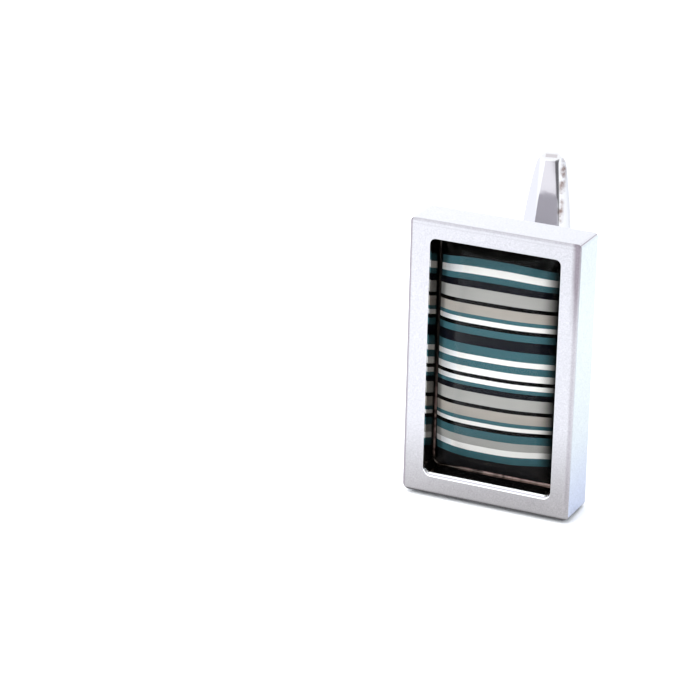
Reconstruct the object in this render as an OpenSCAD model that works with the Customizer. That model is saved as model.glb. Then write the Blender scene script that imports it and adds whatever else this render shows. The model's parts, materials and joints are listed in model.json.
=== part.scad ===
// One rectangular cufflink with a striped panel under a clear dome.
// It stands as it does on a table, on its lower edge and the tip of its toggle.
// Millimetres. X is the wearer's left to right, Y runs back from the face, Z is up.

/* [Frame] */
// Width of the frame
frame_w = 12.5; // [11:0.1:16]
// Height of the frame
frame_h = 20; // [18:0.1:24]
// Thickness of the frame, front to back
frame_t = 3.2; // [3.1:0.1:4.5]
// Width of the rim round the window
rim_w = 1.45; // [1:0.01:2]
// Depth of the recess behind the window
recess_depth = 2.8; // [2.6:0.05:2.8]
// Radius of the frame's outer corners
outer_corner_r = 0.5; // [0.3:0.05:1]
// Radius of the window's corners
window_corner_r = 0.45; // [0.3:0.05:1]
// Bevel along the frame's outer edges
outer_bevel = 0.2; // [0.05:0.01:0.25]
// Bevel round the mouth of the window
window_bevel = 0.24; // [0.05:0.01:0.4]

/* [Striped panel] */
// Thickness of the printed panel
panel_t = 0.15; // [0.15:0.05:0.25]
// Gap round the panel and the dome
inlay_gap = 0.02; // [0.02:0.01:0.06]

/* [Glass dome] */
// Height of the dome's crown over the panel
dome_h = 2.2; // [2.1:0.05:2.3]
// How far the dome falls from its crown to the middle of a long side
dome_drop_side = 1.2; // [0.8:0.05:1.2]
// How far the dome falls from its crown to the middle of a short side
dome_drop_end = 0.8; // [0.5:0.05:0.8]

/* [Fork] */
// Distance along the fork from the frame's back to the pin
fork_len = 13.9; // [13.9:0.1:18]
// Sideways slant of the fork
fork_slant = 14; // [0:0.5:16]
// Sideways place of the fork's foot
foot_x = 0.4; // [-1:0.1:1]
// Height of the fork's foot over the middle of the frame
foot_z = 0.6; // [0:0.1:1]
// Width of the fork over its two legs
fork_w = 5.8; // [5.4:0.1:6.4]
// Thickness of each leg
leg_t = 0.6; // [0.5:0.05:0.8]
// Height of each leg's flat strap
leg_h = 2.4; // [2:0.05:3]
// Length of the neck from the frame's back to the bend
neck_len = 3.4; // [2.4:0.1:3.4]
// Width of the neck
neck_w = 2.2; // [1.8:0.1:2.6]

/* [Toggle] */
// Length of the toggle
toggle_len = 19.2; // [17:0.1:19.2]
// Width of the toggle at its middle
toggle_w = 3.98; // [3.4:0.02:4]
// Width of the toggle at its tips
toggle_tip_w = 1.9; // [1.6:0.02:2.2]
// Thickness of the toggle at its middle
toggle_t = 2.1; // [1.9:0.05:2.6]
// Thickness of the toggle at its tips
toggle_tip_t = 1.2; // [1:0.05:1.4]
// Bevel round each tip
tip_bevel = 0.36; // [0.2:0.02:0.4]
// Slope of the facets along the toggle's edges
facet_angle = 22.8; // [20:0.2:26]
// Half thickness across those facets at the middle
facet_mid = 1.38; // [1.3:0.01:1.5]
// Half thickness across those facets at the tips
facet_tip = 0.72; // [0.65:0.01:0.85]
// How far the toggle is turned from upright along the frame
toggle_turn = 11.5; // [5:0.5:15]

/* [Pin] */
// Diameter of the pin
pin_d = 1; // [0.8:0.05:1.1]
// Clearance round the pin in the legs
pin_gap = 0.01; // [0.01:0.01:0.03]
// Clearance round the pin in the toggle
swivel_gap = 0.04; // [0.03:0.01:0.08]
// Diameter of the toggle's bosses beside the legs
boss_d = 2; // [1.6:0.1:2.2]
// Clearance between each boss and its leg
boss_gap = 0.06; // [0.04:0.01:0.15]

/* [Hidden] */
$fn = 96;
cut = 0.1;

window_w = frame_w - 2 * rim_w;
window_h = frame_h - 2 * rim_w;
inlay_w = window_w - 2 * inlay_gap;
inlay_h = window_h - 2 * inlay_gap;
panel_y = recess_depth - inlay_gap - panel_t;
dome_y = panel_y - inlay_gap;

// Radii of the dome's crown across and along the frame
crown_r_side = (pow(inlay_w / 2, 2) + pow(dome_drop_side, 2)) / (2 * dome_drop_side);
crown_r_end = (pow(inlay_h / 2, 2) + pow(dome_drop_end, 2)) / (2 * dome_drop_end);

// The bend is a half ring between the legs
bend_r = fork_w / 2;
bend_y = neck_len + bend_r;
gap_w = fork_w - 2 * leg_t;
neck_root = 1;
pin_len = fork_w;

// The pin's middle in the upright frame
pin_at = [foot_x - fork_len * sin(fork_slant), frame_t + fork_len * cos(fork_slant), foot_z];

// Height and depth of a point of the toggle, given across, through and along it
function toggle_depth(across, through, along) =
    pin_at.y + across * sin(fork_slant)
    + (along * sin(toggle_turn) + through * cos(toggle_turn)) * cos(fork_slant);
function toggle_height(through, along) =
    pin_at.z + along * cos(toggle_turn) - through * sin(toggle_turn);

// The frame leans back until the toggle's lower tip meets the table
tip_across = toggle_tip_w / 2 - tip_bevel;
tip_through = toggle_tip_t / 2 - tip_bevel;
edge_y = frame_t - outer_bevel;
edge_z = -frame_h / 2;
lean = atan2(toggle_height(tip_through, -toggle_len / 2) - edge_z,
    toggle_depth(tip_across, tip_through, -toggle_len / 2) - edge_y);

// Sides of the whole cufflink, leaning, measured from the edge that it stands on
side_left = pin_at.x - bend_r * cos(fork_slant) - leg_h / 2 * sin(fork_slant);
side_right = frame_w / 2;
front = -edge_y * cos(lean) + outer_bevel * sin(lean);
back = (toggle_depth(tip_across, toggle_tip_t / 2, toggle_len / 2 - tip_bevel) - edge_y) * cos(lean)
    + (toggle_height(toggle_tip_t / 2, toggle_len / 2 - tip_bevel) - edge_z) * sin(lean);

// Outline of a bevelled edge; a bevel below zero flares outward
function edge_outline(half, thick, bevel_front, bevel_back) = [
    [0, 0],
    [half - bevel_front, 0],
    [half, abs(bevel_front)],
    [half, thick - bevel_back],
    [half - bevel_back, thick],
    [0, thick],
];

function mirrored_outline(half, thick, bevel_front, bevel_back) = concat(
    edge_outline(half, thick, bevel_front, bevel_back),
    [for (i = [4:-1:1]) let (p = edge_outline(half, thick, bevel_front, bevel_back)[i]) [-p.x, p.y]]
);

// A plate with rounded corners and bevelled edges, its front at Y = 0
module soft_plate(w, h, thick, corner_r, bevel_front, bevel_back) {
    linear_extrude(height = h - 2 * corner_r, center = true)
        polygon(mirrored_outline(w / 2, thick, bevel_front, bevel_back));
    rotate([0, 90, 0])
        linear_extrude(height = w - 2 * corner_r, center = true)
            polygon(mirrored_outline(h / 2, thick, bevel_front, bevel_back));
    for (x = [-1, 1], z = [-1, 1])
        translate([x * (w / 2 - corner_r), 0, z * (h / 2 - corner_r)])
            rotate([-90, 0, 0])
                rotate_extrude()
                    polygon(edge_outline(corner_r, thick, bevel_front, bevel_back));
}

// Stands the upright parts on the table, leaning, with the origin under their middle
module standing() {
    translate([-(side_left + side_right) / 2, -(front + back) / 2, 0])
        rotate([-lean, 0, 0])
            translate([0, -edge_y, -edge_z])
                children();
}

// The fork's own axes: X across the legs, Y along them from the frame's back, Z up
module along_fork() {
    translate([foot_x, frame_t, foot_z])
        rotate([0, 0, fork_slant])
            children();
}

// Neck, bend and legs, seen from above
module fork_outline() {
    difference() {
        union() {
            translate([0, bend_y])
                circle(r = bend_r);
            translate([-bend_r, bend_y])
                square([fork_w, fork_len - bend_y + leg_h / 2]);
        }
        translate([0, bend_y])
            circle(r = bend_r - leg_t);
        translate([-gap_w / 2, bend_y])
            square([gap_w, fork_len]);
    }
    translate([-neck_w / 2, -neck_root])
        square([neck_w, neck_root + neck_len + leg_t / 2]);
}

// The strap seen from the side, with a round end about the pin
module strap_outline() {
    translate([-neck_root, -leg_h / 2])
        square([neck_root + fork_len, leg_h]);
    translate([fork_len, 0])
        circle(d = leg_h);
}

module fork() {
    difference() {
        intersection() {
            linear_extrude(height = leg_h, center = true)
                fork_outline();
            rotate([90, 0, 90])
                linear_extrude(height = fork_w + 2 * cut, center = true)
                    strap_outline();
        }
        translate([0, fork_len, 0])
            rotate([0, 90, 0])
                cylinder(d = pin_d + 2 * pin_gap, h = fork_w + 2 * cut, center = true);
    }
}

// The room for the panel and the dome, with a flared mouth to its window
module window_room() {
    translate([0, -cut, 0])
        soft_plate(window_w, window_h, recess_depth + cut, window_corner_r,
            -window_bevel - cut, 0);
}

// Tray and fork, soldered into one
module frame() {
    color("silver")
        standing()
            difference() {
                union() {
                    soft_plate(frame_w, frame_h, frame_t, outer_corner_r, outer_bevel, outer_bevel);
                    along_fork()
                        fork();
                }
                window_room();
            }
}

module striped_panel() {
    color("cadetblue")
        standing()
            translate([0, panel_y, 0])
                soft_plate(inlay_w, inlay_h, panel_t, window_corner_r, 0, 0);
}

// The dome's crown is the outside of a ring, tighter across than along
module crown() {
    translate([0, dome_y - dome_h + crown_r_end, 0])
        rotate([0, 90, 0])
            rotate_extrude($fn = 360)
                translate([crown_r_end - crown_r_side, 0])
                    circle(r = crown_r_side, $fn = 360);
}

module glass_dome() {
    color("azure", 0.4)
        standing()
            intersection() {
                translate([0, dome_y - dome_h - cut, 0])
                    soft_plate(inlay_w, inlay_h, dome_h + cut, window_corner_r, 0, 0);
                crown();
            }
}

// A slab with two bowed faces, thick at the middle and thinner at the tips
module bowed_slab(mid, tip) {
    bow = mid - tip;
    bow_r = (pow(toggle_len / 2, 2) + pow(bow, 2)) / (2 * bow);
    intersection_for(side = [-1, 1])
        translate([0, side * (mid - bow_r), 0])
            rotate([0, 90, 0])
                cylinder(r = bow_r, h = 3 * toggle_w, center = true, $fn = 360);
}

// The toggle upright: a bowed bar with four sloping facets and bevelled tips
module toggle_bar() {
    intersection() {
        bowed_slab(toggle_t / 2, toggle_tip_t / 2);
        rotate([0, 0, 90])
            bowed_slab(toggle_w / 2, toggle_tip_w / 2);
        rotate([0, 0, facet_angle])
            bowed_slab(facet_mid, facet_tip);
        rotate([0, 0, -facet_angle])
            bowed_slab(facet_mid, facet_tip);
        tip_cut(toggle_tip_w / 2);
        rotate([0, 0, 90])
            tip_cut(toggle_tip_t / 2);
    }
}

// Cuts both tips square, with a bevel towards X
module tip_cut(half) {
    end = toggle_len / 2;
    wide = toggle_w;
    rotate([90, 0, 0])
        linear_extrude(height = 2 * toggle_w, center = true)
            polygon([
                [half - tip_bevel, end], [half - tip_bevel + wide, end - wide],
                [half - tip_bevel + wide, wide - end], [half - tip_bevel, -end],
                [tip_bevel - half, -end], [tip_bevel - half - wide, wide - end],
                [tip_bevel - half - wide, end - wide], [tip_bevel - half, end],
            ]);
}

module toggle() {
    color("gainsboro")
        standing()
            along_fork()
                translate([0, fork_len, 0])
                    difference() {
                        union() {
                            rotate([-toggle_turn, 0, 0])
                                toggle_bar();
                            rotate([0, 90, 0])
                                cylinder(d = boss_d, h = gap_w - 2 * boss_gap, center = true);
                        }
                        rotate([0, 90, 0])
                            cylinder(d = pin_d + 2 * swivel_gap, h = fork_w, center = true);
                    }
}

module pivot_pin() {
    color("dimgray")
        standing()
            along_fork()
                translate([0, fork_len, 0])
                    rotate([0, 90, 0])
                        cylinder(d = pin_d, h = pin_len, center = true);
}

frame();
striped_panel();
glass_dome();
toggle();
pivot_pin();
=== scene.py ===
"""Looks of a rectangular cufflink: satin frame and fork, toggle, pin, striped panel and dome."""

import json
import math

import bmesh
import bpy
from bpy.props import FloatProperty, FloatVectorProperty, PointerProperty
from mathutils import Matrix, Vector


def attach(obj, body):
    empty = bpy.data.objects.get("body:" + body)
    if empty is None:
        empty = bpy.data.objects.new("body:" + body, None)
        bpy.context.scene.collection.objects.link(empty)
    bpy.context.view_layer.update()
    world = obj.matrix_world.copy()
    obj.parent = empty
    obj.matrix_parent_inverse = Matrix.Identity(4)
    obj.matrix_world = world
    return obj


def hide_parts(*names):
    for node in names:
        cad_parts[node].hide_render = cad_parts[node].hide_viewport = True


bl_info = {
    "name": "Striped cufflink",
    "version": (1, 0, 0),
    "blender": (4, 5, 0),
    "location": "3D View > Sidebar > Cufflink",
    "description": "Builds a rectangular cufflink with a striped panel under a glass dome",
    "category": "Add Mesh",
}

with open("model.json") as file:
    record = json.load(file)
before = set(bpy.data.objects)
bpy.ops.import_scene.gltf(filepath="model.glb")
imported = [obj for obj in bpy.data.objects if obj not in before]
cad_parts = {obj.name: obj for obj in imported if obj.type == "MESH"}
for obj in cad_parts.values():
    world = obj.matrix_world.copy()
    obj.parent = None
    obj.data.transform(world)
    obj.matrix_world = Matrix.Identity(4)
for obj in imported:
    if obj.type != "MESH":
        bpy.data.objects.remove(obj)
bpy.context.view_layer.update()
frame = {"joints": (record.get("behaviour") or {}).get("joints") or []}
MM = 0.001

# The toggle's hinge gives the cufflink's lean on the table and the fork's slant
hinge = frame["joints"][0]
hinge_axis = Vector(hinge["axis"])
LEAN = math.atan2(-hinge_axis.z, hinge_axis.y)
SLANT = math.acos(hinge_axis.x)
TILT = Matrix.Rotation(-LEAN, 4, "X") @ Matrix.Rotation(SLANT, 4, "Z")
PIVOT = Matrix.Translation(hinge["pos_m"]) @ TILT


def length(name, description, millimetres):
    """A size, given in millimetres and kept in metres."""
    return FloatProperty(
        name=name,
        description=description,
        default=millimetres * MM,
        min=0,
        precision=5,
        subtype="DISTANCE",
        unit="LENGTH",
    )


def angle(name, description, degrees):
    """An angle, given in degrees and kept in radians."""
    return FloatProperty(
        name=name,
        description=description,
        default=math.radians(degrees),
        subtype="ANGLE",
        unit="ROTATION",
    )


def share(name, description, value):
    """A share, from 0 to 1."""
    return FloatProperty(
        name=name, description=description, default=value, min=0, max=1, subtype="FACTOR"
    )


def power(name, description, value):
    """An exponent that shapes a curve."""
    return FloatProperty(name=name, description=description, default=value, min=0.3, max=12)


def colour(name, description, screen):
    """A colour, given as it reads on a screen and kept as light."""
    light = [c / 12.92 if c <= 0.04045 else ((c + 0.055) / 1.055) ** 2.4 for c in screen]
    return FloatVectorProperty(
        name=name, description=description, default=light, size=3, min=0, max=1, subtype="COLOR"
    )


class CufflinkSizes(bpy.types.PropertyGroup):
    """Sizes of the cufflink's parts."""

    frame_w: length("Frame width", "Width of the frame", 12.5)
    frame_h: length("Frame height", "Height of the frame", 20)
    frame_t: length("Frame thickness", "Thickness of the frame", 3.2)
    window_left: length("Window to the left", "Reach of the window left of the middle", 4.73)
    window_right: length("Window to the right", "Reach of the window right of the middle", 4.85)
    window_up: length("Window upwards", "Reach of the window above the middle", 8.71)
    window_down: length("Window downwards", "Reach of the window below the middle", 8.44)
    recess: length("Recess depth", "Depth of the recess behind the window", 2.8)
    upper_corner: length("Upper corners", "Radius of the frame's upper corners", 0.3)
    lower_corner: length("Lower corners", "Radius of the frame's lower corners", 0.45)
    upper_window: length("Upper window corners", "Radius of the window's upper corners", 0.42)
    lower_window: length("Lower window corners", "Radius of the window's lower corners", 0.48)
    bevel: length("Frame bevel", "Bevel along the frame's outer edges", 0.1)
    lip: length("Window lip", "Depth of the bright lip round the window", 0.215)
    flare_corner: length("Flare corner", "Radius of the lower flare's corners", 0.62)
    lower_flare: length("Lower flare", "Width of the bright bevel below the window", 0.265)
    left_lean: length("Left wall's lean", "How far the left wall leans out at its foot", 0.27)
    lower_lean: length("Lower wall's lean", "How far the lower wall leans out at its foot", 0.31)
    ledge: length("Ledge", "Width of the ledge at the foot of the walls", 0.08)
    lower_ledge: length("Lower ledge", "Width of the ledge along the lower wall", 0.13)
    ledge_at: length("Ledge depth", "Depth of the ledge behind the rim", 2.5)
    panel_t: length("Panel thickness", "Thickness of the printed panel", 0.15)
    inlay_gap: length("Inlay gap", "Gap round the panel and the dome", 0.02)
    dome_right: length("Dome to the right", "Reach of the dome right of the middle", 3.84)
    print_left: length("Print to the left", "Reach of the stripes left of the middle", 4.66)
    # Painted shade: the stripes darken to black towards their right end
    print_shade: length("Print shade", "Where the stripes start to darken on the right", 2.45)
    print_shade_end: length("Print end", "Where the stripes end in black on the right", 3.85)
    print_turn: angle("Print turn", "Slight turn of the stripes on the panel", -0.4)
    dome_h: length("Dome height", "Height of the dome's crown over the panel", 2.05)
    dome_edge: length("Dome edge", "Height of the dome along its edges", 0.2)
    dome_side: power("Dome sides", "How late the dome falls towards its long sides", 2.85)
    dome_end: power("Dome ends", "How late the dome falls towards its short sides", 4.44)
    dome_shoulder: power("Dome shoulders", "How full the dome's shoulders are", 0.927)
    fork_len: length("Fork length", "Distance along the fork to the pin", 13.9)
    foot_x: length("Foot offset", "Sideways place of the fork's foot", 0.4)
    foot_z: length("Foot height", "Height of the foot over the frame's middle", 0.6)
    fork_w: length("Fork width", "Width over the fork's two legs", 5.8)
    leg_t: length("Leg thickness", "Thickness of each leg", 0.6)
    leg_h: length("Leg height", "Height of each leg's strap", 2.4)
    neck_len: length("Neck length", "Length of the neck up to the bend", 3.4)
    neck_w: length("Neck width", "Width of the neck", 2.2)
    strap_edge: length("Strap edge", "Rounding along the fork's edges", 0.2)
    solder: length("Solder fillet", "Size of the fillet round the fork's foot", 0.35)
    toggle_len: length("Toggle length", "Length of the toggle", 19.2)
    toggle_w: length("Toggle width", "Width of the toggle at its middle", 3.98)
    toggle_tip_w: length("Toggle tip width", "Width of the toggle at its tips", 1.9)
    toggle_t: length("Toggle thickness", "Thickness of the toggle at its middle", 1.86)
    toggle_tip_t: length("Toggle tip thickness", "Thickness of the toggle at its tips", 1.2)
    tip_bevel: length("Tip bevel", "Bevel on the front and back of each tip", 0.42)
    tip_patch: length("Tip patch", "Width of the dull patch on each tip's bevels", 0.84)
    patch_end: length("Patch end", "From the dull patch to the toggle's end", 0.15)
    tip_narrow: length("Tip narrowing", "Bevel on the sides of each tip", 0.47)
    facet_mid: length("Facet at the middle", "Half thickness across the facets", 1.26)
    facet_tip: length("Facet at the tips", "Half thickness across the facets", 0.7)
    facet_angle: angle("Facet slope", "Slope of the facets to the toggle's flats", 22.8)
    toggle_edge: length("Toggle edge", "Rounding along the toggle's edges", 0.2)
    toggle_turn: angle("Toggle turn", "Turn of the toggle from upright", 11.5)
    pin_d: length("Pin diameter", "Diameter of the pin", 1)
    pin_gap: length("Pin gap", "Gap round the pin in the legs", 0.01)
    swivel_gap: length("Swivel gap", "Gap round the pin in the toggle", 0.04)
    boss_d: length("Boss diameter", "Diameter of the bosses beside the legs", 2)
    boss_gap: length("Boss gap", "Gap between each boss and its leg", 0.06)


class CufflinkColours(bpy.types.PropertyGroup):
    """Colours of the cufflink's parts and of the stripes on its panel."""

    satin: colour("Satin metal", "Frame", (0.735, 0.73, 0.745))
    # Painted shade: the frame's lower end gets this darker colour
    dull: colour("Shaded satin", "Lower end of the frame", (0.6, 0.587, 0.59))
    # Painted reflection: the right side face gets a lighter, bluish colour, bluer towards its lower
    # end
    side: colour("Side reflection", "Right side of the frame", (0.745, 0.77, 0.775))
    lower_side_reflection: colour("Lower side reflection", "Lower end of the frame's right side", (0.71, 0.735, 0.805))
    # Partly worn plating and partly painted shade along the frame's front edges
    wear_and_shade: colour("Worn and shaded edge", "Front edges of the frame, thinly plated", (0.52, 0.49, 0.515))
    # Painted shade: the edge the frame stands on gets this dark colour for the shade where it meets
    # the floor
    foot: colour("Foot shade", "Edge that the frame stands on", (0.27, 0.265, 0.27))
    bright: colour("Bright lip", "Bright lip round the window", (0.93, 0.93, 0.93))
    # Painted shade: a grey line between the bright lip's two parts
    lip_line: colour("Lip line", "Line between the bright lip's two parts", (0.655, 0.645, 0.67))
    polished: colour("Polished metal", "Fork, toggle and pin", (0.78, 0.775, 0.78))
    flat: colour("Toggle flats", "Long flats of the toggle", (0.7, 0.685, 0.7))
    # Painted shade: the toggle's left bevels get a darker, bluer colour than its right ones
    left_bevel_shade: colour("Left bevel shade", "Left bevel shade of the toggle", (0.725, 0.72, 0.75))
    tarnish: colour("Tarnish", "Brown spots along the toggle's edge", (0.4, 0.3, 0.26))
    tip: colour("Toggle tip", "Bevels at the toggle's tips", (0.68, 0.66, 0.67))
    # Painted shade: the recess walls get a darker colour for the shade inside the recess
    wall: colour("Recess wall", "Darkened walls of the recess", (0.5, 0.47, 0.44))
    # Painted glint: the colour of the glint along the ledge
    bare: colour("Bare ledge", "Bare metal at the foot of the walls", (0.74, 0.63, 0.61))
    satin_gloss: share("Satin roughness", "Roughness of the frame's satin faces", 0.34)
    teal: colour("Teal", "Teal stripes", (0.235, 0.385, 0.415))
    cream: colour("Cream", "Cream stripes", (0.965, 0.955, 0.94))
    black: colour("Black", "Black stripes", (0.012, 0.012, 0.014))
    margin: colour("Margin", "Dark margin below the stripes", (0.125, 0.123, 0.13))
    navy: colour("Navy", "Navy stripes", (0.05, 0.055, 0.085))
    light_grey: colour("Light grey", "Light grey stripes", (0.65, 0.645, 0.63))
    warm_grey: colour("Warm grey", "Warm grey stripes", (0.66, 0.635, 0.605))
    floor: colour("Floor", "Floor under the cufflink", (0.93, 0.935, 0.945))


# Where the stripes start and end, over and under the panel's middle, in millimetres
PRINT_REACH = 9.0

# Each stripe from the top, with the height over the panel's middle where it ends, in millimetres
STRIPES = (
    ("black", 6.852), ("teal", 6.272), ("cream", 5.806), ("teal", 5.366), ("navy", 4.897),
    ("light_grey", 4.053), ("black", 3.782), ("warm_grey", 3.087), ("teal", 2.808),
    ("cream", 2.448), ("black", 2.172), ("teal", 1.656), ("navy", 0.905), ("teal", 0.193),
    ("cream", -0.230), ("teal", -0.727), ("cream", -1.246), ("black", -1.539),
    ("cream", -1.846), ("teal", -2.153), ("navy", -2.562), ("light_grey", -3.441),
    ("black", -3.716), ("warm_grey", -4.413), ("teal", -4.684), ("cream", -4.968),
    ("black", -5.216), ("teal", -5.787), ("light_grey", -6.360), ("cream", -6.756),
    ("teal", -7.370), ("margin", -PRINT_REACH),
)

# Sizes of the fine marks in the finishes
GRAIN, PATCHES, WALL_WAVES, STREAKS = 0.09 * MM, 2.5 * MM, 0.7 * MM, 0.4 * MM
WAVES, WEAR_MARKS, SPOTS = 0.9 * MM, 0.06 * MM, 0.8 * MM
WAVER, INK_MARKS, SPECKS = 0.25 * MM, 0.12 * MM, 4 * MM

# The finishes on the frame and on the toggle, in their order on each mesh
SATIN, POLISH, WALL, LEDGE, LIP, LIP_SHADE = range(6)
BEVELS, TIPS, FLATS = range(3)

# Light of the studio, and patches in it: the way to each, the cosines where it starts and is
# full, and its light
STUDIO_LIGHT = (0.93, 0.96, 1)
STUDIO_PATCHES = (
    ((0.42, -0.8, 0.45), 0.94, 0.985, (0.12, 0.12, 0.13)),
    ((0.97, 0.1, 0.2), 0.7, 0.95, (0.72, 0.76, 0.82)),
    ((0, 0, 1), 0.35, 1.0, (0.84, 0.86, 0.88)),
)

# Soft lights: name, place, what it points at and size in metres, watts and tint
LIGHTS = (
    ("Light from above", (-0.15, -0.1, 0.5), (0, 0, 0), 0.4, 1.1, (1, 0.97, 0.93)),
    ("Light from the left", (-0.25, -0.42, 0.42), (0, 0, 0.01), 0.3, 1.1, (1, 0.98, 0.95)),
)

# The photograph's camera: its place in metres, its ways right and ahead, and its lens and sensor
# in millimetres
CAMERA_PLACE = (0.0826788, -0.2012874, 0.1112962)
CAMERA_RIGHT = Vector((0.90267, 0.42997, -0.01767))
CAMERA_AHEAD = Vector((-0.39511, 0.81183, -0.42992))
LENS, SENSOR = 174.857, 36


class Amount:
    """A number that varies over a surface. Sums on it become the material's Math nodes."""

    def __init__(self, finish, socket):
        self.finish = finish
        self.socket = socket

    def maths(self, operation, *values):
        """A Math node on some values, numbers or amounts."""
        node = self.finish.add("ShaderNodeMath", {"operation": operation}, dict(enumerate(values)))
        return Amount(self.finish, node.outputs[0])

    def __add__(self, other):
        return self.maths("ADD", self, other)

    def __sub__(self, other):
        return self.maths("SUBTRACT", self, other)

    def __mul__(self, other):
        return self.maths("MULTIPLY", self, other)

    def __radd__(self, other):
        return self.maths("ADD", other, self)

    def __rsub__(self, other):
        return self.maths("SUBTRACT", other, self)

    def __rmul__(self, other):
        return self.maths("MULTIPLY", other, self)

    def __abs__(self):
        return self.maths("ABSOLUTE", self)

    def __gt__(self, other):
        return self.maths("GREATER_THAN", self, other)

    def between(self, low, high):
        """0 below low, 1 above high, and smooth between them."""
        node = self.finish.add(
            "ShaderNodeMapRange",
            {"interpolation_type": "SMOOTHSTEP"},
            {"Value": self, "From Min": low, "From Max": high},
        )
        return Amount(self.finish, node.outputs["Result"])


class Finish:
    """A material or world, built from nodes that are added one at a time."""

    def __init__(self, holder):
        holder.use_nodes = True
        self.holder = holder
        self.tree = holder.node_tree
        self.tree.nodes.clear()

    def add(self, kind, settings=None, sockets=None):
        """Adds a node: its settings and ramp stops first, then its values and links."""
        node = self.tree.nodes.new(kind)
        for name, value in (settings or {}).items():
            if name == "stops":
                self.set_stops(node.color_ramp, value)
            else:
                setattr(node, name, value)
        for name, value in (sockets or {}).items():
            if isinstance(value, Amount):
                value = value.socket
            if isinstance(value, bpy.types.NodeSocket):
                self.tree.links.new(value, node.inputs[name])
            else:
                node.inputs[name].default_value = value
        return node

    def set_stops(self, ramp, stops):
        """Gives a ramp hard steps, each with the place where it starts and its colour."""
        ramp.interpolation = "CONSTANT"
        while len(ramp.elements) > 1:
            ramp.elements.remove(ramp.elements[-1])
        ramp.elements[0].position = stops[0][0]
        ramp.elements[0].color = opaque(stops[0][1])
        for position, light in stops[1:]:
            ramp.elements.new(position).color = opaque(light)

    def place(self):
        """Where a point of the surface is, in metres, in the part's own axes."""
        return self.add("ShaderNodeTexCoord").outputs["Object"]

    def vectors(self, operation, first, second):
        """A Vector Math node on two vectors."""
        return self.add("ShaderNodeVectorMath", {"operation": operation}, {0: first, 1: second})

    def reach(self, vector, axis):
        """How far a vector reaches along an axis."""
        return Amount(self, self.vectors("DOT_PRODUCT", vector, axis).outputs["Value"])

    def along(self, start, axis):
        """How far a point of the surface lies from start, along an axis."""
        return self.reach(self.vectors("SUBTRACT", self.place(), start).outputs[0], axis)

    def noise(self, size, detail=2, stretch=(1, 1, 1)):
        """Soft noise whose marks measure about size."""
        spot = self.vectors("MULTIPLY", self.place(), [1 / (size * s) for s in stretch])
        node = self.add(
            "ShaderNodeTexNoise", None, {"Vector": spot.outputs[0], "Scale": 1, "Detail": detail}
        )
        return Amount(self, node.outputs["Fac"])

    def blend(self, amount, first, second, clamped=False):
        """A colour between two others, no brighter than white if clamped."""
        node = self.add(
            "ShaderNodeMix",
            {"data_type": "RGBA", "clamp_result": clamped},
            {0: amount, 6: first, 7: second},
        )
        return node.outputs[2]

    def varied(self, tone, value):
        """A colour made lighter or darker from place to place."""
        node = self.add("ShaderNodeHueSaturation", None, {"Color": tone, "Value": value})
        return node.outputs["Color"]

    def bumps(self, height, depth):
        """Fine relief of a given depth."""
        node = self.add("ShaderNodeBump", None, {"Height": height, "Distance": depth})
        return node.outputs["Normal"]

    def surface(self, shader):
        """Ends a material with its shader."""
        self.add("ShaderNodeOutputMaterial", None, {"Surface": shader})
        return self.holder

    def coat(self, **sockets):
        """Ends a material with one shader, whose sockets are named with _ for each space."""
        sockets = {name.replace("_", " "): value for name, value in sockets.items()}
        return self.surface(self.add("ShaderNodeBsdfPrincipled", None, sockets).outputs[0])


def opaque(light, share=1.0):
    """A colour with its alpha, made lighter or darker."""
    return [c * share for c in light] + [1]


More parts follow.
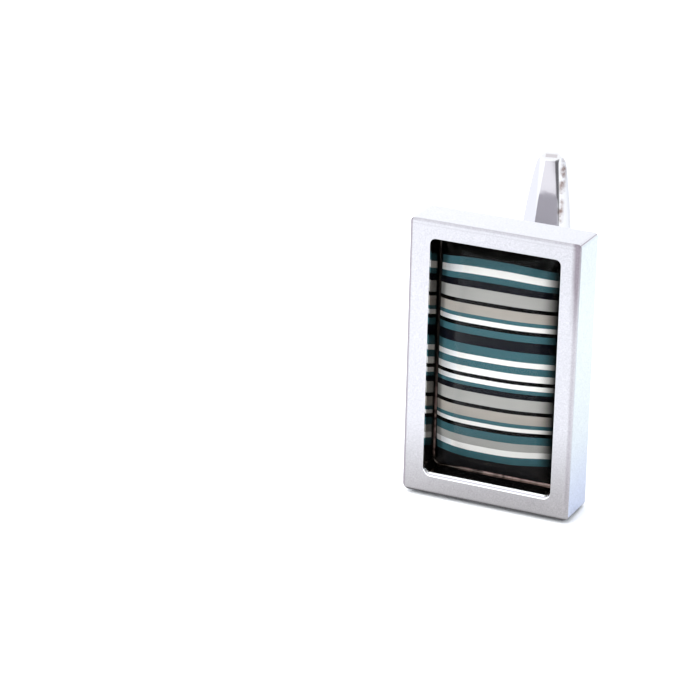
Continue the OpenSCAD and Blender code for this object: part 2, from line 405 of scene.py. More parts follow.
def satin_metal(colours, sizes, axes):
    """Satin plating with a fine grain, worn plating and painted shade along its front edges,
    painted shade low down and towards its right and top, a painted bluish reflection on its right
    side and a painted dark foot edge.
    """
    finish = Finish(bpy.data.materials.new("Satin plating"))
    across, depth, height = (finish.along(axes.translation, axis) for axis in axes.to_3x3().col)
    half_w, half_h = sizes.frame_w / 2, sizes.frame_h / 2
    grain = finish.noise(GRAIN, detail=3)
    patches = finish.noise(PATCHES, detail=3)

    def beside(distance, edge, starts, full):
        """A mark along an edge, growing between two distances in from it, in millimetres."""
        return distance.between(edge - starts * MM, edge - full * MM)

    # Marks along the front edges and corners: partly worn plating, partly painted shade
    front = 1 - depth.between(0.06 * MM, 0.14 * MM)
    upper_part = height.between(2 * MM, 9.5 * MM)
    above_foot = height.between(-10 * MM, -8 * MM)
    wide = beside(across, half_w, starts=0.7, full=0.36) * upper_part
    thin = beside(across, half_w, starts=0.44, full=0.26) * above_foot
    left_edge = beside(0 - across, half_w, starts=0.24, full=0.15)
    top_edge = beside(height, half_h, starts=0.24, full=0.14)
    turned = beside(across, half_w, starts=0.16, full=0.08)
    corner = beside(across, half_w, starts=0.13, full=0.09)
    corner = corner * beside(height, half_h, starts=0.13, full=0.09)
    line_at = half_h - 0.38 * MM
    line = 1 - abs(height - line_at).between(0.02 * MM, 0.07 * MM)
    mottled = 0.2 + patches + grain * 0.4
    wear_and_shade = (wide * mottled + thin * 0.42) * (1 - turned * 0.4)
    wear_and_shade = (wear_and_shade + left_edge * 0.8 + top_edge * 0.35 + line * 0.15) * front + corner

    # Painted shade: the frame darkens towards its lower end
    above_lower_shade = (height - across * 0.1).between(-10.2 * MM, -3.2 * MM)
    tone = finish.blend(above_lower_shade, opaque(colours.dull), opaque(colours.satin))
    # Painted reflection: the right side face gets its own bluish colours
    side_reflection = finish.blend(above_lower_shade, opaque(colours.lower_side_reflection), opaque(colours.side))
    tone = finish.blend(beside(across, half_w, starts=0.06, full=0.02), tone, side_reflection)
    tone = finish.blend(wear_and_shade, tone, opaque(colours.wear_and_shade))
    # Painted shade: the foot edge is darkened
    foot = beside(0 - height, half_h, starts=0.26, full=0.06)
    tone = finish.blend(foot, tone, opaque(colours.foot))
    # Painted shade: the satin is made darker towards its right side and its top
    high = height.between(4 * MM, 9.5 * MM)
    level = 0.68 + grain * 0.6 + patches * 0.04 - across * 5 - high * 0.05
    return finish.coat(
        Base_Color=finish.varied(tone, level),
        Metallic=1.0,
        Roughness=colours.satin_gloss - 0.03 + grain * 0.04 + patches * 0.03,
        Normal=finish.bumps(grain, depth=0.002 * MM),
    )


def shaded_wall(colours):
    """Bright metal inside the recess, its colour darkened as painted shade."""
    finish = Finish(bpy.data.materials.new("Darkened wall"))
    waves = finish.noise(WALL_WAVES)
    return finish.coat(
        Base_Color=finish.blend(waves, opaque(colours.wall, 0.9), opaque(colours.wall, 1.1)),
        Metallic=1.0,
        Roughness=0.06 + waves * 0.04,
        Normal=finish.bumps(waves, depth=0.003 * MM),
    )


def glinting_ledge(colours, axes):
    """Reddish metal on the ledge with a painted glint, streaked, along its lower part, and near
    black as painted shade in its upper half and at its lower left.
    """
    finish = Finish(bpy.data.materials.new("Bare ledge"))
    right, _, up = axes.to_3x3().col
    height = finish.along(axes.translation, up)
    across = finish.along(axes.translation, right)
    streaks = finish.noise(STREAKS, detail=3).between(0.25, 0.6)
    upper = height.between(-6 * MM, 0)
    left = 1 - across.between(-3.9 * MM, -1.2 * MM)
    low = 1 - height.between(-8.3 * MM, -7.9 * MM)
    # Painted glint where this is 1, painted shade, near black, where it is 0
    light = streaks * (1 - upper) * (1 - left * low)
    return finish.coat(
        Base_Color=finish.blend(light, opaque(colours.bare, 0.015), opaque(colours.bare, 0.7)),
        Metallic=1.0,
        Roughness=0.4 + streaks * 0.1,
    )


def polished_metal(colours, light, name="Polished plating", edge=None, patch=None):
    """Bright plating with faint waves and wear marks, and with an edge's spots and painted shade on
    the left bevels, or a dull patch.
    """
    finish = Finish(bpy.data.materials.new(name))
    waves = finish.noise(WAVES, detail=1)
    wear = finish.noise(WEAR_MARKS, stretch=(1, 1, 6))
    tone = finish.blend(waves, opaque(light, 0.97), opaque(light))
    if edge:
        tone = spots_and_left_shade(finish, colours, tone, *edge)
    if patch:
        tone = dull_patch(finish, colours, tone, *patch)
    return finish.coat(
        Base_Color=tone,
        Metallic=1.0,
        Roughness=0.04 + wear * 0.05 + waves * 0.02,
        Normal=finish.bumps(waves + wear * 0.03, depth=0.006 * MM),
    )


def spots_and_left_shade(finish, colours, tone, middle, right, edge_at):
    """Paints shade on the toggle's left bevels, and puts brown spots along its right edge."""
    across = finish.along(middle, right)
    # Painted shade on the left bevels
    left = 1 - across.between(-0.9 * MM, -0.7 * MM)
    tone = finish.blend(left, tone, opaque(colours.left_bevel_shade))
    away = abs(across - edge_at).between(0.02 * MM, 0.34 * MM)
    spots = finish.noise(SPOTS, detail=3).between(0.42, 0.7) * (1 - away)
    return finish.blend(spots, tone, opaque(colours.tarnish))


def dull_patch(finish, colours, tone, middle, right, half_w, up, half_h):
    """Dulls the toggle's tip bevels, up to half_w to each side and half_h up and down."""
    soft_w, soft_h = 0.04 * MM, 0.03 * MM
    beside = abs(finish.along(middle, right)).between(half_w - soft_w, half_w + soft_w)
    beyond = abs(finish.along(middle, up)).between(half_h - soft_h, half_h + soft_h)
    return finish.blend((1 - beside) * (1 - beyond), tone, opaque(colours.tip))


def printed_stripes(colours, sizes, middle, right, up):
    """Uneven stripes across the panel, black to their left, with painted shade at their right end
    and towards their lower part, and painted light near their left end.
    """
    finish = Finish(bpy.data.materials.new("Printed stripes"))
    height = finish.along(middle, up)
    across = finish.along(middle, right)
    sway = 0.02 * MM
    waver = (finish.noise(WAVER) - 0.5) * sway
    reach = PRINT_REACH * MM
    along = (reach - height + waver) * (1 / (2 * reach))
    starts = [PRINT_REACH] + [end for name, end in STRIPES[:-1]]
    stops = [
        ((PRINT_REACH - start) / (2 * PRINT_REACH), getattr(colours, name))
        for start, (name, end) in zip(starts, STRIPES)
    ]
    half = len(stops) // 2
    upper = finish.add("ShaderNodeValToRGB", {"stops": stops[:half]}, {"Fac": along})
    lower = finish.add("ShaderNodeValToRGB", {"stops": stops[half - 1:]}, {"Fac": along})
    in_both = stops[half - 1][0] + 0.001
    stripes = finish.blend(along > in_both, upper.outputs["Color"], lower.outputs["Color"])

    soft = 0.1 * MM
    ends = (0 - across).between(sizes.print_left - soft, sizes.print_left + soft)
    # Painted shade: the stripes darken to black towards their right end
    ends = ends + across.between(sizes.print_shade, sizes.print_shade_end)
    stripes = finish.blend(ends, stripes, opaque(colours.black))
    ink = finish.noise(INK_MARKS, detail=3)
    # Painted light: the stripes are made lighter near their left end
    pale = across.between(-4.35 * MM, -4.0 * MM) * (1 - across.between(-4.1 * MM, -2.7 * MM))
    # Painted shade: the stripes darken towards their lower part
    above = height.between(-5.5 * MM, -3 * MM)
    inked = finish.varied(stripes, (0.96 + ink * 0.08 + pale * 0.85) * (0.8 + above * 0.2))
    inked = finish.blend(0.0, inked, opaque(colours.black), clamped=True)
    return finish.coat(Base_Color=inked, Roughness=0.42 + ink * 0.06, Specular_IOR_Level=0.0)


def clear_glass():
    """Clear glass that lets light through to the print below it."""
    finish = Finish(bpy.data.materials.new("Clear glass"))
    glass = finish.add(
        "ShaderNodeBsdfPrincipled",
        None,
        {
            "Base Color": (0.985, 0.995, 0.995, 1),
            "Roughness": 0.0,
            "IOR": 1.5,
            "Specular Tint": (0.22, 0.22, 0.22, 1),
            "Transmission Weight": 1.0,
        },
    )
    through = finish.add("ShaderNodeBsdfTransparent", None, {"Color": (0.97, 0.98, 0.98, 1)})
    shadow = finish.add("ShaderNodeLightPath").outputs["Is Shadow Ray"]
    mix = finish.add(
        "ShaderNodeMixShader", None, {0: shadow, 1: glass.outputs[0], 2: through.outputs[0]}
    )
    return finish.surface(mix.outputs[0])


def eased(points, cut, steps=5, closed=False):
    """A line of points with each corner turned into a small curve, short of the next one."""
    most = 0.48
    line = [Vector(p) for p in points]
    count = len(line)
    curve = [] if closed else [line[0]]
    for i in range(count if closed else count - 2):
        before, corner, after = (line[(i + k) % count] for k in range(3))
        reach = min(cut, most * (before - corner).length, most * (after - corner).length)
        start = corner + (before - corner).normalized() * reach
        end = corner + (after - corner).normalized() * reach
        for k in range(steps + 1):
            t = k / steps
            curve.append((1 - t) ** 2 * start + 2 * t * (1 - t) * corner + t * t * end)
    return curve if closed else curve + [line[-1]]


def soft_corners(points, cut, steps):
    """The small curves at a line's corners, without its two ends."""
    return eased(points, cut, steps)[1:-1]


def arc(centre, radius, start, end, steps):
    """Points on an arc, its angles in degrees."""
    x, y = centre
    turns = [math.radians(start + (end - start) * k / steps) for k in range(steps + 1)]
    return [Vector((x + radius * math.cos(a), y + radius * math.sin(a))) for a in turns]


def plate_ring(box, upper, lower, depth):
    """The outline of a plate at one depth, from its (left, right, down, up) and corner radii."""
    left, right, down, up = box
    least, steps = 0.02 * MM, 7
    upper, lower = max(upper, least), max(lower, least)
    outline = arc((right - upper, up - upper), upper, 0, 90, steps)
    outline += arc((left + upper, up - upper), upper, 90, 180, steps)
    outline += arc((left + lower, down + lower), lower, 180, 270, steps)
    outline += arc((right - lower, down + lower), lower, 270, 360, steps)
    return [(p.x, depth, p.y) for p in outline]


def let_out(box, by):
    """A box made larger by the same amount on every side."""
    left, right, down, up = box
    return (left - by, right + by, down - by, up + by)


def loft(shape, rings, to, bands=None, caps=(0, 0)):
    """Adds a closed form through rings of points, with one finish for each band between them."""
    rows = [[shape.verts.new(to @ Vector(p)) for p in ring] for ring in rings]
    faces = []
    for k, (row, after) in enumerate(zip(rows, rows[1:])):
        for i in range(len(row)):
            j = (i + 1) % len(row)
            face = shape.faces.new((row[i], row[j], after[j], after[i]))
            face.material_index = bands[k] if bands else 0
            faces.append(face)
    faces.append(shape.faces.new(rows[0][::-1]))
    faces.append(shape.faces.new(rows[-1]))
    faces[-2].material_index, faces[-1].material_index = caps
    bmesh.ops.recalc_face_normals(shape, faces=faces)


def piece_from(shape, name, finishes):
    """A mesh object with its finishes."""
    mesh = bpy.data.meshes.new(name)
    shape.to_mesh(mesh)
    shape.free()
    for finish in finishes:
        mesh.materials.append(finish)
    piece = bpy.data.objects.new(name, mesh)
    bpy.context.scene.collection.objects.link(piece)
    return piece


def lofted(name, rings, to, finishes, bands=None, caps=(0, 0)):
    """A piece made of one closed form through rings of points."""
    shape = bmesh.new()
    loft(shape, rings, to, bands, caps)
    return piece_from(shape, name, finishes)


def worked(piece, tools, operation):
    """Joins tools to a piece or cuts them from it, and takes the tools away."""
    for tool in tools:
        step = piece.modifiers.new("Shape", "BOOLEAN")
        step.object, step.operation, step.solver = tool, operation, "EXACT"
    bpy.context.view_layer.update()
    result = piece.evaluated_get(bpy.context.evaluated_depsgraph_get())
    before = piece.data
    mesh = bpy.data.meshes.new_from_object(result)
    piece.modifiers.clear()
    piece.data = mesh
    mesh.name = before.name
    bpy.data.meshes.remove(before)
    for tool in tools:
        bpy.data.objects.remove(tool)


def smooth(piece, crease=32):
    """Smooth shading that leaves the flats flat and the sharp edges sharp."""
    shape = bmesh.new()
    shape.from_mesh(piece.data)
    for face in shape.faces:
        face.smooth = True
    for edge in shape.edges:
        edge.smooth = edge.is_manifold and edge.calc_face_angle(0) < math.radians(crease)
    shape.to_mesh(piece.data)
    shape.free()
    even = piece.modifiers.new("Even shading", "WEIGHTED_NORMAL")
    even.keep_sharp = True
    even.weight = 100


def hand_over(piece, body, node):
    """Puts a finished piece on its body in place of its CAD node."""
    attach(piece, body)
    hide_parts(node)


def fork_axes(sizes):
    """The fork's axes: across its legs, along them from the frame's back, and up."""
    return PIVOT @ Matrix.Translation((0, -sizes.fork_len, 0))


def frame_axes(sizes):
    """The frame's axes: across, back from its front face, and up from its middle."""
    foot = Matrix.Translation((sizes.foot_x, sizes.frame_t, sizes.foot_z))
    return fork_axes(sizes) @ (foot @ Matrix.Rotation(SLANT, 4, "Z")).inverted()


def tray_rings(sizes):
    """Outlines of the tray from its back round the rim and down to the floor of its recess."""
    half_w, half_h = sizes.frame_w / 2, sizes.frame_h / 2
    plate = (-half_w, half_w, -half_h, half_h)
    back, bevel = sizes.frame_t, sizes.bevel
    round_back, soft_front, soft_mouth = 0.2 * MM, 0.02 * MM, 0.025 * MM
    outside = soft_corners([(-MM, back), (0, back), (0, back - MM)], round_back, steps=5)
    front = [(0, MM), (0, bevel), (-0.6 * bevel, 0.35 * bevel), (-1.7 * bevel, 0), (-MM, 0)]
    outside += soft_corners(front, soft_front, steps=2)
    rings = [
        plate_ring(let_out(plate, out), sizes.upper_corner + out, sizes.lower_corner + out, depth)
        for out, depth in outside
    ]

    left, right, down, up = window_box(sizes)
    foot = (left - sizes.left_lean, right, down - sizes.lower_lean, up)
    hole = recess_floor(sizes)
    upper, lower, flared = sizes.upper_window, sizes.lower_window, sizes.flare_corner
    line_starts, line_ends = 0.74 * sizes.lower_flare, 0.42 * sizes.lower_flare
    line_depth, line_end_depth = 0.05 * MM, 0.054 * MM
    half_flared = lower + 0.5 * (flared - lower)
    mouth = [
        (*let_out(plate, -0.5 * MM), 0, upper, flared),
        (left, right, down - sizes.lower_flare, up, 0, upper, flared),
        (left, right, down - line_starts, up, line_depth, upper, flared),
        (left, right, down - line_ends, up, line_end_depth, upper, half_flared),
        (left, right, down, up, sizes.lip, upper, lower),
        (*foot, sizes.ledge_at, upper, lower),
        (*hole, sizes.ledge_at, upper, lower),
        (*hole, sizes.recess, upper, lower),
        (*let_out(hole, -MM), sizes.recess, upper, lower),
    ]
    for at in soft_corners(mouth, soft_mouth, steps=2):
        rings.append(plate_ring(at[:4], at[5], at[6], at[4]))
    # The middle bands of the lip are painted shade, a grey line across the bright lip
    bands = [SATIN] * len(outside) + [LIP] * 4 + [LIP_SHADE] * 4 + [LIP] * 3
    bands += [WALL] * 3 + [LEDGE] * 3 + [WALL] * 3
    return rings, bands


def window_box(sizes):
    """Left, right, down and up of the window."""
    return (-sizes.window_left, sizes.window_right, -sizes.window_down, sizes.window_up)


def recess_floor(sizes):
    """Left, right, down and up of the recess inside its ledge, which is wider at the bottom."""
    left, right, down, up = let_out(window_box(sizes), -sizes.ledge)
    wider = sizes.lower_ledge - sizes.ledge
    return (left - sizes.left_lean, right, down - sizes.lower_lean + wider, up)


def fork_ring(sizes, inset, end, height):
    """The fork's outline at one height: neck, fillets, bend and legs, let in by inset."""
    fillet, tip_round, overlap = 0.4 * MM, 0.16 * MM, 0.1 * MM
    outer, inner = sizes.fork_w / 2 - inset, sizes.fork_w / 2 - sizes.leg_t + inset
    tip = min(tip_round, 0.45 * (outer - inner))
    bend = (0, sizes.neck_len + sizes.fork_w / 2)
    neck = sizes.neck_w / 2
    reach = sizes.fork_w / 2 + fillet
    fillet_y = bend[1] - math.sqrt(reach ** 2 - (neck + fillet) ** 2)
    turn = math.degrees(math.atan2(bend[1] - fillet_y, -(neck + fillet)))
    side = neck - inset

    def root(x):
        """Where the neck's side ends, a little inside the slanted frame."""
        return (x, (-overlap - x * math.sin(SLANT)) / math.cos(SLANT))

    right = [root(side)]
    right += arc((neck + fillet, fillet_y), fillet + inset, 180, turn, steps=8)
    right += arc(bend, outer, turn - 180, 0, steps=20)
    right += arc((outer - tip, end - tip), tip, 0, 90, steps=4)
    right += arc((inner + tip, end - tip), tip, 90, 180, steps=4)
    right += arc(bend, inner, 0, -90, steps=24)
    left = [Vector((-p[0], p[1])) for p in right[1:-1][::-1]]
    outline = right + left + [root(-side)]
    return [(p[0], p[1], height) for p in outline]


def fork_rings(sizes):
    """Outlines of the fork from its lower to its upper edge, with round leg ends."""
    half, soft, steps = sizes.leg_h / 2, sizes.strap_edge, 16
    least = 0.2 * MM
    rings = []
    for k in range(-steps, steps + 1):
        height = half * math.sin(math.radians(90 * k / steps))
        into = max(0, abs(height) - (half - soft))
        inset = soft - math.sqrt(max(soft ** 2 - into ** 2, 0))
        end = sizes.fork_len + math.sqrt(max(half ** 2 - height ** 2, least ** 2))
        rings.append(fork_ring(sizes, inset, end, height))
    return rings


def solder_rings(sizes):
    """A hollow fillet round the fork's foot, sunk a little into the frame and the fork."""
    half_w = sizes.neck_w / 2 / math.cos(SLANT)
    half_h = sizes.leg_h / 2
    size, in_frame, in_fork, run_out = sizes.solder, 0.08 * MM, 0.1 * MM, 0.02 * MM
    curve = [(size, -in_frame)]
    for degrees in range(0, 91, 15):
        turn = math.radians(degrees)
        curve.append((size * (1 - math.sin(turn)), size * (1 - math.cos(turn))))
    curve.append((-in_fork, size + run_out))
    rings = []
    for out, rise in curve:
        across, up = sizes.foot_x - rise * math.tan(SLANT), sizes.foot_z
        foot = (across - half_w, across + half_w, up - half_h, up + half_h)
        corner = sizes.strap_edge + out
        rings.append(plate_ring(let_out(foot, out), corner, corner, sizes.frame_t + rise))
    return rings


def turned_rings(outline, steps=48):
    """Rings of a form turned about the X axis, from (place along it, radius) pairs."""
    turns = [2 * math.pi * k / steps for k in range(steps)]
    return [[(x, r * math.cos(a), r * math.sin(a)) for a in turns] for x, r in outline]


def drill(radius, reach, finishes):
    """A bar along the pin, to cut its hole with."""
    rings = turned_rings([(-reach / 2, radius), (reach / 2, radius)])
    return lofted("drill", rings, PIVOT, finishes)


class CUFFLINK_OT_frame(bpy.types.Operator):
    """Builds the satin tray with its fork soldered to the back"""

    bl_idname = "cufflink.frame"
    bl_label = "Frame and fork"

    def execute(self, context):
        sizes, colours = context.scene.cufflink_sizes, context.scene.cufflink_colours
        axes = frame_axes(sizes)
        finishes = [
            satin_metal(colours, sizes, axes),
            polished_metal(colours, colours.polished),
            shaded_wall(colours),
            glinting_ledge(colours, axes),
            polished_metal(colours, colours.bright, "Bright lip"),
            polished_metal(colours, colours.lip_line, "Lip line"),
        ]
        rings, bands = tray_rings(sizes)
        tray = lofted("tray_and_fork", rings, axes, finishes, bands, (SATIN, WALL))
        rings = fork_rings(sizes)
        polish = [POLISH] * len(rings), (POLISH, POLISH)
        fork = lofted("fork", rings, fork_axes(sizes), finishes, *polish)
        solder = lofted("solder", solder_rings(sizes), axes, finishes, *polish)
        worked(tray, [fork, solder], "UNION")
        past_legs = 2 * MM
        hole = drill(sizes.pin_d / 2 + sizes.pin_gap, sizes.fork_w + past_legs, finishes)
        worked(tray, [hole], "DIFFERENCE")
        smooth(tray)
        hand_over(tray, "face", "frame")
        return {"FINISHED"}


class CUFFLINK_OT_panel(bpy.types.Operator):
    """Builds the printed panel in the floor of the recess"""

    bl_idname = "cufflink.panel"
    bl_label = "Striped panel"

    def execute(self, context):
        sizes, colours = context.scene.cufflink_sizes, context.scene.cufflink_colours
        axes = frame_axes(sizes)
        box = let_out(recess_floor(sizes), -sizes.inlay_gap)
        back = sizes.recess - sizes.inlay_gap
        front = back - sizes.panel_t
        soft = 0.03 * MM
        edge = soft_corners([(-MM, back), (0, back), (0, front), (-MM, front)], soft, steps=2)
        corner = sizes.lower_window
        rings = [plate_ring(let_out(box, out), corner + out, corner + out, at) for out, at in edge]
        middle = axes @ Vector((0, front, 0))
        right = axes.to_3x3() @ Vector((1, 0, 0))
        up = axes.to_3x3() @ Vector((math.tan(sizes.print_turn), 0, 1))
        finishes = [printed_stripes(colours, sizes, middle, right, up)]
        panel = lofted("printed_panel", rings, axes, finishes)
        smooth(panel)
        hand_over(panel, "face", "striped_panel")
        return {"FINISHED"}


class CUFFLINK_OT_dome(bpy.types.Operator):
    """Builds the clear dome over the panel, low along its edges"""

    bl_idname = "cufflink.dome"
    bl_label = "Glass dome"

    def execute(self, context):
        sizes = context.scene.cufflink_sizes
        left, right, down, up = let_out(recess_floor(sizes), -sizes.inlay_gap)
        right = sizes.dome_right
        over_panel = 0.004 * MM
        base = sizes.recess - sizes.inlay_gap - sizes.panel_t + over_panel
        to = frame_axes(sizes) @ Matrix.Translation(((left + right) / 2, 0, (down + up) / 2))
        shape = bmesh.new()
        grid = [
            [shape.verts.new(to @ Vector((x, base - height, z))) for x, z, height in row]
            for row in dome_rows(sizes, (right - left) / 2, (up - down) / 2)
        ]
        for row, after in zip(grid, grid[1:]):
            for i in range(len(row) - 1):
                shape.faces.new((row[i], row[i + 1], after[i + 1], after[i]))
        rim = grid[0] + [row[-1] for row in grid[1:]] + grid[-1][-2::-1]
        rim += [row[0] for row in grid[-2:0:-1]]
        back = to.to_3x3() @ Vector((0, 1, 0))
        floor = to @ Vector((0, base, 0))
        feet = [shape.verts.new(v.co + back * (floor - v.co).dot(back)) for v in rim]
        for i in range(len(rim)):
            j = (i + 1) % len(rim)
            shape.faces.new((rim[j], rim[i], feet[i], feet[j]))
        shape.faces.new(feet)
        bmesh.ops.recalc_face_normals(shape, faces=shape.faces)
        dome = piece_from(shape, "clear_dome", [clear_glass()])
        smooth(dome, crease=40)
        hand_over(dome, "face", "glass_dome")
        return {"FINISHED"}


def dome_rows(sizes, half_w, half_h, columns=64, rows=104):
    """Rows of (across, up, height) over the dome, closer together near its edges."""
    corner = sizes.lower_window
    for j in range(rows + 1):
        up = half_h * math.sin((2 * j / rows - 1) * math.pi / 2)
        into = max(0, abs(up) - (half_h - corner))
        wide = half_w - corner + math.sqrt(max(corner ** 2 - into ** 2, 0))
        places = [wide * math.sin((2 * i / columns - 1) * math.pi / 2) for i in range(columns + 1)]
        yield [(x, up, dome_height(sizes, x / half_w, up / half_h)) for x in places]


def dome_height(sizes, across, up):
    """Height of the dome over the panel, with across and up from -1 to 1."""
    sides = max(0, 1 - abs(across) ** sizes.dome_side)
    ends = max(0, 1 - abs(up) ** sizes.dome_end)
    full = (sides * ends) ** sizes.dome_shoulder
    return sizes.dome_edge + (sizes.dome_h - sizes.dome_edge) * full


def bowed(mid, tip, half_len, at):
    """Half thickness of a bar whose faces are bowed from mid to tip, at a place along it."""
    bow = mid - tip
    radius = (half_len ** 2 + bow ** 2) / (2 * bow)
    return mid - radius + math.sqrt(radius ** 2 - at ** 2)


def soft_lesser(first, second, soft):
    """The lesser of two sizes, with a small curve where they change over."""
    return (first + second - math.sqrt((first - second) ** 2 + soft ** 2)) / 2


def toggle_ring(sizes, at, inset=0.0):
    """Section of the toggle at a place along it: eight sides with eased corners."""
    half_len = sizes.toggle_len / 2
    to_end = half_len - abs(at)
    tilt = sizes.facet_angle
    soft, least = 0.12 * MM, 0.04 * MM
    wide = bowed(sizes.toggle_w / 2, sizes.toggle_tip_w / 2, half_len, at)
    thick = bowed(sizes.toggle_t / 2, sizes.toggle_tip_t / 2, half_len, at)
    facet = bowed(sizes.facet_mid, sizes.facet_tip, half_len, at) - inset
    wide = soft_lesser(wide, sizes.toggle_tip_w / 2 - sizes.tip_narrow + to_end, soft) - inset
    thick = soft_lesser(thick, sizes.toggle_tip_t / 2 - sizes.tip_bevel + to_end, soft) - inset
    flat = (facet - thick * math.cos(tilt)) / math.sin(tilt)
    side = (facet - wide * math.sin(tilt)) / math.cos(tilt)
    flat = soft_lesser(flat, wide - least, soft)
    side = soft_lesser(side, thick - least, soft)
    corners = [(wide, -side), (wide, side), (flat, thick), (-flat, thick)]
    corners += [(-x, -y) for x, y in corners]
    outline = eased(corners, sizes.toggle_edge, steps=4, closed=True)
    return [(p.x, p.y, at) for p in outline]


def toggle_rings(sizes):
    """Sections of the toggle from its middle to its upper end, closer together near the end."""
    half_len = sizes.toggle_len / 2
    soft, end_inset = 0.12 * MM, 0.6
    tip = sizes.tip_narrow + 0.3 * MM
    body_steps, tip_steps = 30, 18
    places = [(half_len - tip) * k / body_steps for k in range(body_steps)]
    places += [half_len - soft - (tip - soft) * (1 - k / tip_steps) for k in range(tip_steps + 1)]
    rings = [toggle_ring(sizes, at) for at in places]
    for degrees in range(18, 91, 18):
        turn = math.radians(degrees)
        inset = soft * (1 - math.cos(turn)) * end_inset
        rings.append(toggle_ring(sizes, half_len - soft * (1 - math.sin(turn)), inset))
    return rings


class CUFFLINK_OT_toggle(bpy.types.Operator):
    """Builds the toggle that turns between the fork's legs"""

    bl_idname = "cufflink.toggle"
    bl_label = "Toggle"

    def execute(self, context):
        sizes, colours = context.scene.cufflink_sizes, context.scene.cufflink_colours
        turn = PIVOT @ Matrix.Rotation(-sizes.toggle_turn, 4, "X")
        middle = turn.translation
        across, thick, upward = turn.to_3x3().col
        edge_at = 0.95 * MM
        edge = (middle, across, edge_at)
        patch_h = sizes.toggle_len / 2 - sizes.patch_end
        patch = (middle, across, sizes.tip_patch / 2, upward, patch_h)
        finishes = [
            polished_metal(colours, colours.polished, "Toggle plating", edge),
            polished_metal(colours, colours.polished, "Toggle tips", patch=patch),
            polished_metal(colours, colours.flat, "Toggle flats"),
        ]
        upper = toggle_rings(sizes)
        lower = [[(x, y, -z) for x, y, z in ring] for ring in upper[:0:-1]]
        shape = bmesh.new()
        loft(shape, lower + upper, turn)
        flat_on, sloping = 0.988, 0.6
        for face in shape.faces:
            facing = abs(face.normal.dot(thick))
            if facing > flat_on:
                face.material_index = FLATS
            elif facing > sloping and abs(face.normal.dot(upward)) > sloping:
                face.material_index = TIPS
            else:
                face.material_index = BEVELS
        toggle = piece_from(shape, "turning_toggle", finishes)
        half, radius = sizes.fork_w / 2 - sizes.leg_t - sizes.boss_gap, sizes.boss_d / 2
        edge = soft_corners([(0, radius), (half, radius), (half, 0)], 0.1 * MM, steps=4)
        outline = [(-x, r) for x, r in edge[::-1]] + [(x, r) for x, r in edge]
        boss = lofted("boss", turned_rings(outline), PIVOT, finishes)
        worked(toggle, [boss], "UNION")
        bore = drill(sizes.pin_d / 2 + sizes.swivel_gap, sizes.fork_w, finishes)
        worked(toggle, [bore], "DIFFERENCE")
        smooth(toggle, crease=28)
        hand_over(toggle, "toggle", "toggle")
        return {"FINISHED"}


class CUFFLINK_OT_pin(bpy.types.Operator):
    """Builds the pin through the legs and the toggle"""

    bl_idname = "cufflink.pin"
    bl_label = "Pin"

    def execute(self, context):
        sizes, colours = context.scene.cufflink_sizes, context.scene.cufflink_colours
        half, radius, crown = sizes.fork_w / 2, sizes.pin_d / 2, 0.08 * MM
        ends = []
        for degrees in range(15, 91, 15):
            turn = math.radians(degrees)
            ends.append((half - crown + crown * math.cos(turn), radius * math.sin(turn)))
        rings = turned_rings([(-x, r) for x, r in ends] + ends[::-1])
        finishes = [polished_metal(colours, colours.polished)]
        pin = lofted("swivel_pin", rings, PIVOT, finishes)
        smooth(pin)
        hand_over(pin, "face", "pivot_pin")
        return {"FINISHED"}


def soft_light(name, place, aim, size, watts, tint):
    """A square light that shows in no reflection."""
    lamp = bpy.data.lights.new(name, "AREA")
    lamp.shape, lamp.size, lamp.energy, lamp.color = "SQUARE", size, watts, tint
    light = bpy.data.objects.new(name, lamp)
    light.visible_glossy = False
    light.location = place
    light.rotation_euler = (Vector(aim) - Vector(place)).to_track_quat("-Z", "Y").to_euler()
    bpy.context.scene.collection.objects.link(light)


def pale_floor(colours):
    """Pale matt card for the cufflink to stand on."""
    finish = Finish(bpy.data.materials.new("Pale floor"))
    speck = finish.noise(SPECKS)
    tone = finish.blend(speck, opaque(colours.floor, 0.99), opaque(colours.floor))
    return finish.coat(Base_Color=tone, Roughness=0.6, Specular_IOR_Level=0.1)


def studio_air():
    """The studio's light from all round, and its patches."""
    world = bpy.data.worlds.new("Studio")
    air = Finish(world)
    toward = air.add("ShaderNodeTexCoord").outputs["Generated"]
    tone = opaque(STUDIO_LIGHT)
    for way, starts, full, light in STUDIO_PATCHES:
        facing = air.reach(toward, Vector(way).normalized())
        tone = air.blend(facing.between(starts, full), tone, opaque(light))
    shader = air.add("ShaderNodeBackground", None, {"Color": tone, "Strength": 2.0})
    air.add("ShaderNodeOutputWorld", None, {"Surface": shader.outputs[0]})
    return world


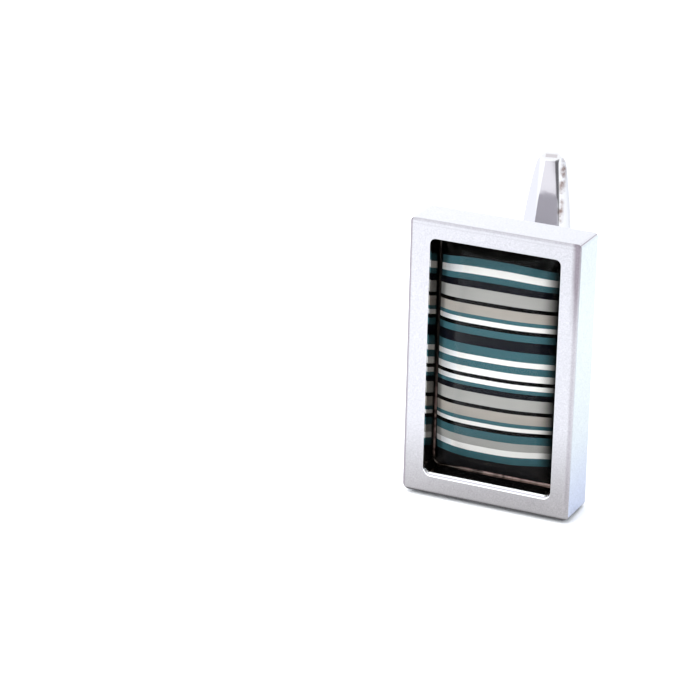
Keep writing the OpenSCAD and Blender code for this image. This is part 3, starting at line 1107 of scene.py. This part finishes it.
def photo_camera():
    """A camera where the photograph was taken from."""
    view = bpy.data.cameras.new("Camera")
    view.sensor_width, view.lens, view.clip_start = SENSOR, LENS, 0.01
    camera = bpy.data.objects.new("Camera", view)
    above = CAMERA_RIGHT.cross(CAMERA_AHEAD)
    turn = Matrix((CAMERA_RIGHT, above, -CAMERA_AHEAD)).transposed().to_4x4()
    camera.matrix_world = Matrix.Translation(CAMERA_PLACE) @ turn
    return camera


class CUFFLINK_OT_stage(bpy.types.Operator):
    """Sets the pale floor, the soft studio light and the camera"""

    bl_idname = "cufflink.stage"
    bl_label = "Floor, light and camera"

    def execute(self, context):
        scene = context.scene
        shape = bmesh.new()
        bmesh.ops.create_circle(shape, cap_ends=True, radius=3, segments=96)
        floor = piece_from(shape, "floor", [pale_floor(scene.cufflink_colours)])
        scene.world = studio_air()
        for light in LIGHTS:
            soft_light(*light)
        scene.camera = photo_camera()
        scene.collection.objects.link(scene.camera)
        scene.view_settings.view_transform = "Standard"
        return {"FINISHED"}


class CUFFLINK_PT_parts(bpy.types.Panel):
    """Lists the cufflink's parts in the sidebar"""

    bl_label = "Striped cufflink"
    bl_idname = "CUFFLINK_PT_parts"
    bl_space_type = "VIEW_3D"
    bl_region_type = "UI"
    bl_category = "Cufflink"

    def draw(self, context):
        for operator in OPERATORS:
            self.layout.operator(operator.bl_idname)
        for group in (context.scene.cufflink_sizes, context.scene.cufflink_colours):
            for name in group.__annotations__:
                self.layout.prop(group, name)


OPERATORS = (
    CUFFLINK_OT_frame,
    CUFFLINK_OT_panel,
    CUFFLINK_OT_dome,
    CUFFLINK_OT_toggle,
    CUFFLINK_OT_pin,
    CUFFLINK_OT_stage,
)
CLASSES = (CufflinkSizes, CufflinkColours, *OPERATORS, CUFFLINK_PT_parts)


def register():
    for item in CLASSES:
        bpy.utils.register_class(item)
    bpy.types.Scene.cufflink_sizes = PointerProperty(type=CufflinkSizes)
    bpy.types.Scene.cufflink_colours = PointerProperty(type=CufflinkColours)


def unregister():
    del bpy.types.Scene.cufflink_colours
    del bpy.types.Scene.cufflink_sizes
    for item in reversed(CLASSES):
        bpy.utils.unregister_class(item)


def main():
    register()
    bpy.ops.cufflink.frame()
    bpy.ops.cufflink.panel()
    bpy.ops.cufflink.dome()
    bpy.ops.cufflink.toggle()
    bpy.ops.cufflink.pin()
    bpy.ops.cufflink.stage()


if __name__ == "__main__":
    main()
